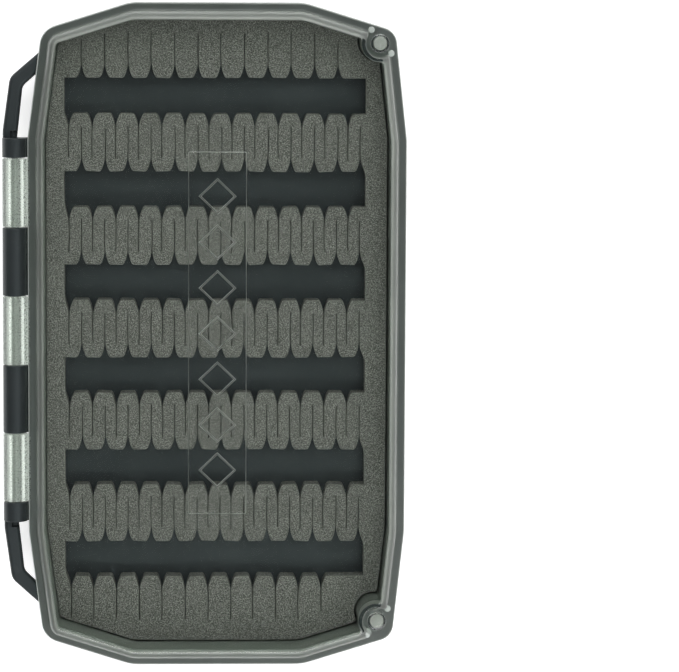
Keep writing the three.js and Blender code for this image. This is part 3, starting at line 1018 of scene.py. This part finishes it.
def raised_plate(bm, x_low, x_high, y_low, y_high, bottom, top, corner, edge):
    """A flat plate with rounded corners in plan and a rounded upper edge."""
    def plan(inset):
        points = []
        centres = [(x_high - corner, y_high - corner, 0), (x_low + corner, y_high - corner, 90),
                   (x_low + corner, y_low + corner, 180), (x_high - corner, y_low + corner, 270)]
        for cx, cy, start in centres:
            points += [
                (cx + (corner - inset) * math.cos(math.radians(start + 15 * k)),
                 cy + (corner - inset) * math.sin(math.radians(start + 15 * k)))
                for k in range(7)
            ]
        return points

    rings = [ring(bm, plan(0.0), bottom)]
    for k in range(5):
        angle = math.radians(90 * k / 4)
        rings.append(ring(bm, plan(edge * (1 - math.cos(angle))), top - edge * (1 - math.sin(angle))))
    for first, second in zip(rings, rings[1:]):
        join_rings(bm, first, second)
    bm.faces.new(rings[0])
    bm.faces.new(rings[-1])


PANEL_WIDTH = 16.0
PANEL_LENGTH = 100.0


def panel_builder(bm):
    raised_plate(bm, CENTRE_X - PANEL_WIDTH / 2, CENTRE_X + PANEL_WIDTH / 2,
                 HINGE_Y - PANEL_LENGTH / 2, HINGE_Y + PANEL_LENGTH / 2,
                 LID_TOP - LID_PLATE / 2, LID_TOP + PANEL_HEIGHT, 0.4, 0.28)


DIAMOND_COUNT = 7
DIAMOND_PITCH = 12.6
DIAMOND_HALF_WIDTH = 5.2
DIAMOND_HALF_LENGTH = 5.0
RIDGE_WIDTH = 0.55
RIDGE_HEIGHT = 0.2


def diamond_builders():
    """A row of plain raised diamond outlines on the panel."""
    top = LID_TOP + PANEL_HEIGHT
    section = [(0.0, top - 0.1), (0.0, top), (RIDGE_WIDTH * 0.35, top + RIDGE_HEIGHT),
               (RIDGE_WIDTH * 0.65, top + RIDGE_HEIGHT), (RIDGE_WIDTH, top), (RIDGE_WIDTH, top - 0.1)]

    def diamond(bm, y):
        w, h = DIAMOND_HALF_WIDTH, DIAMOND_HALF_LENGTH
        shape = [(CENTRE_X + w, y), (CENTRE_X, y + h), (CENTRE_X - w, y), (CENTRE_X, y - h)]
        rings = [ring(bm, shrink(shape, inset), z) for inset, z in section]
        for first, second in zip(rings, rings[1:] + rings[:1]):
            join_rings(bm, first, second)

    middle = (DIAMOND_COUNT - 1) / 2
    places = [HINGE_Y + (i - middle) * DIAMOND_PITCH for i in range(DIAMOND_COUNT)]
    return [lambda bm, y=y: diamond(bm, y) for y in places]


PIP_RADIUS = 0.9
PIP_HEIGHT = 0.45
PIP_REACH = 4.25
PIP_TURNS = (-41.0, 122.0)


def pip_places():
    places = []
    for place, mirror in zip(MAGNET_PLACES, (1.0, -1.0)):
        for turn in PIP_TURNS:
            angle = math.radians(turn * mirror)
            places.append(place + PIP_REACH * Vector((math.cos(angle), math.sin(angle))))
    return places


def pip_builders(rim_top):
    """Small round pads on the rim, one at each end of every hollow round a boss."""
    profile = rounded_rod_profile(PIP_RADIUS, rim_top - 0.5, rim_top + PIP_HEIGHT, 0.25)
    return [lambda bm, place=place: lathe_upright(bm, place.x, place.y, profile) for place in pip_places()]


CLEAR, FROSTED, SATIN, EDGE_HIGHLIGHT, KNUCKLE = range(5)


def lid_finish(face):
    """The lid's top, ceiling and bosses are polished.

    Its walls, shoulder and the panel's raised lines are frosted, the flat of the rim has a paler
    satin texture, the knuckles are smoother, and the rim's edge and the pips are painted pale as
    highlights.
    """
    place = face.calc_center_median()
    flat = Vector((place.x, place.y))
    if place.z > LID_TOP + 0.01:
        return CLEAR if face.normal.z > 0.97 else FROSTED
    rim_top = LID_RIM_BOTTOM + RIM_THICKNESS
    reach = min((flat - magnet).length for magnet in MAGNET_PLACES)
    if place.x < CENTRE_X - HALF_WIDTH:
        return KNUCKLE
    if face.normal.z > 0.9 and abs(place.z - rim_top) < 0.05:
        return SATIN
    # Painted highlight: the pips and, further on, the rim's outer edge get the palest finish.
    if place.z > rim_top + 0.05 and min((flat - pip).length for pip in pip_places()) < PIP_RADIUS + 0.05:
        return EDGE_HIGHLIGHT
    if reach < BOSS_RADIUS + 0.1:
        return CLEAR
    outward = Vector((place.x - CENTRE_X, place.y * HALF_WIDTH / HALF_LENGTH)).normalized()
    facing = face.normal.x * outward.x + face.normal.y * outward.y
    if place.z > LID_TOP - 0.01 or face.normal.z < -0.9:
        return CLEAR
    if place.z < rim_top - 0.02 and facing > 0.05:
        return EDGE_HIGHLIGHT
    return FROSTED


def build_lid(materials):
    """materials are the clear, frosted, satin, edge and knuckle finishes, in that order."""
    bm = shell(lid_section())
    rim_top = LID_RIM_BOTTOM + RIM_THICKNESS
    web_end = CENTRE_X - HALF_WIDTH + WEB_REACH
    knuckles = knuckle_builders(0, LID_RIM_BOTTOM + WEB_STEP, rim_top, web_end)
    bosses = boss_builders(LID_RIM_BOTTOM + BOSS_SETBACK, LID_RIM_BOTTOM + BOSS_LENGTH)
    pockets = pocket_builders(LID_RIM_BOTTOM - 1, MAGNET_HIGH.z + POCKET_CLEARANCE)
    bm = combine(bm, [*knuckles, *bosses, *pip_builders(rim_top), panel_builder], [*pockets, bore_builder])
    bm = combine(bm, diamond_builders())
    piece = finish_mesh("lid_cover", bm, materials, finish_of=lid_finish)
    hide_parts("lid_shell")
    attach(piece, "lid")


# ---------------------------------------------------------------- pin and magnets


def build_pin(material):
    bm = bmesh.new()
    half = (PIN_HIGH.y - PIN_LOW.y) / 2
    lathe_upright(bm, 0.0, 0.0, rounded_rod_profile(PIN_RADIUS, -half, half, 0.3), 48)
    lying = Matrix.Rotation(math.radians(90), 4, "X")
    bm.transform(Matrix.Translation((HINGE_X, HINGE_Y, HINGE_Z)) @ lying)
    piece = finish_mesh("steel_pin", bm, [material])
    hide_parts("hinge_pin")
    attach(piece, "base")


def build_magnet(node, body, material):
    bm = bmesh.new()
    low, high = low_high(node)
    lathe_upright(bm, (low.x + high.x) / 2, (low.y + high.y) / 2,
                  rounded_rod_profile(MAGNET_RADIUS, low.z, high.z, 0.25))
    piece = finish_mesh("plated_" + node, bm, [material])
    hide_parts(node)
    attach(piece, body)


# ---------------------------------------------------------------- floor, light and camera


def build_floor():
    material, nodes, links, shader = new_material("pale_floor")
    cloud = placed_noise(nodes, links, 1.5, 2.0)
    colour = blend_colours(nodes, links, cloud, (0.90, 0.90, 0.90), (0.93, 0.93, 0.93))
    links.new(colour, shader.inputs["Base Color"])
    shader.inputs["Roughness"].default_value = 0.9
    shader.inputs["Specular IOR Level"].default_value = 0.1
    shader.inputs["Emission Color"].default_value = (1.0, 1.0, 1.0, 1.0)
    shader.inputs["Emission Strength"].default_value = 0.55
    bpy.ops.mesh.primitive_plane_add(size=6.0, location=(0, 0, 0))
    floor = bpy.context.object
    floor.name = "floor"
    floor.data.materials.append(material)


WORLD_CEILING = 0.05
WORLD_SIDES = 0.78
WORLD_TOWARDS_FRONT = 0.5


def build_world():
    """A studio that is brightest on the box's opening side.

    Its dark ceiling keeps reflections off the lid's top.
    """
    world = bpy.data.worlds.new("studio")
    bpy.context.scene.world = world
    world.use_nodes = True
    nodes, links = world.node_tree.nodes, world.node_tree.links
    place = nodes.new("ShaderNodeTexCoord")
    split = nodes.new("ShaderNodeSeparateXYZ")
    links.new(place.outputs["Generated"], split.inputs["Vector"])
    lean = nodes.new("ShaderNodeVectorMath")
    lean.operation = "DOT_PRODUCT"
    lean.inputs[1].default_value = (1.1, 0.3, 0.0)
    links.new(place.outputs["Generated"], lean.inputs[0])
    sides = remap(nodes, links, lean.outputs["Value"], -1.0, 1.0,
                  WORLD_SIDES - WORLD_TOWARDS_FRONT, WORLD_SIDES + WORLD_TOWARDS_FRONT)
    ceiling = remap(nodes, links, split.outputs["Z"], 0.86, 0.95, 1.0, WORLD_CEILING)
    strength = nodes.new("ShaderNodeMath")
    strength.operation = "MULTIPLY"
    links.new(sides, strength.inputs[0])
    links.new(ceiling, strength.inputs[1])
    nodes["Background"].inputs["Color"].default_value = (1.0, 1.0, 1.0, 1.0)
    links.new(strength.outputs["Value"], nodes["Background"].inputs["Strength"])


def area_light(name, place, target, size, power):
    data = bpy.data.lights.new(name, "AREA")
    data.shape = "RECTANGLE"
    data.size, data.size_y = size
    data.energy = power
    lamp = bpy.data.objects.new(name, data)
    lamp.location = place
    lamp.rotation_euler = (Vector(target) - Vector(place)).to_track_quat("-Z", "Y").to_euler()
    bpy.context.scene.collection.objects.link(lamp)


CAMERA_PLACE = (-0.00005, 0.110, 1.0175)
CAMERA_AIM = (0.03735, 0.0, 0.0175)
CAMERA_LENS = 192.6
CAMERA_ROLL_DEGREES = 0.3


def build_camera():
    data = bpy.data.cameras.new("camera")
    data.lens = CAMERA_LENS
    data.sensor_width = 36.0
    data.clip_start = 0.05
    camera = bpy.data.objects.new("camera", data)
    back = (Vector(CAMERA_PLACE) - Vector(CAMERA_AIM)).normalized()
    right = Vector((0.0, 1.0, 0.0)).cross(back).normalized()
    up = back.cross(right)
    roll = Matrix.Rotation(math.radians(CAMERA_ROLL_DEGREES), 4, "Z")
    turn = Matrix((right, up, back)).transposed().to_4x4() @ roll
    camera.matrix_world = Matrix.Translation(CAMERA_PLACE) @ turn
    bpy.context.scene.collection.objects.link(camera)
    bpy.context.scene.camera = camera


# ---------------------------------------------------------------- assembly

charcoal = charcoal_plastic()
tray = painted_light_wall_plastic()
clear = clear_plastic()
frosted = frosted_plastic("frosted_plastic", (0.33, 0.355, 0.325), (0.40, 0.425, 0.39), 0.90, 0.30)
satin = frosted_plastic("satin_plastic", (0.33, 0.38, 0.34), (0.40, 0.45, 0.41), 0.92, 0.28)
# painted highlight: the palest finish, for the light on the rim's outer edge and the pips
edge = frosted_plastic("edge_highlight_plastic", (0.74, 0.80, 0.75), (0.84, 0.90, 0.85), 0.60, 0.30)
knuckle = frosted_plastic("knuckle_plastic", (0.64, 0.70, 0.64), (0.73, 0.79, 0.73), 0.93, 0.22)
foam = grey_foam()
steel = drawn_steel()
nickel = plated_nickel()
film = adhesive_film()

build_base(charcoal, tray)
build_loop("loop_upper", 1, charcoal)
build_loop("loop_lower", -1, charcoal)
build_foam(foam)
build_film(film)
build_lid([clear, frosted, satin, edge, knuckle])
build_pin(steel)
for magnet_body in ("base", "lid"):
    for magnet_end in ("upper", "lower"):
        build_magnet(f"{magnet_body}_magnet_{magnet_end}", magnet_body, nickel)

build_floor()
build_world()
area_light("key", (0.1, 0.62, 1.0), (0.0, 0.0, 0.0), (0.9, 0.5), 7.0)
area_light("fill", (0.1, -0.62, 1.0), (0.0, 0.0, 0.0), (0.9, 0.5), 5.5)
build_camera()
bpy.context.scene.view_settings.view_transform = "Standard"
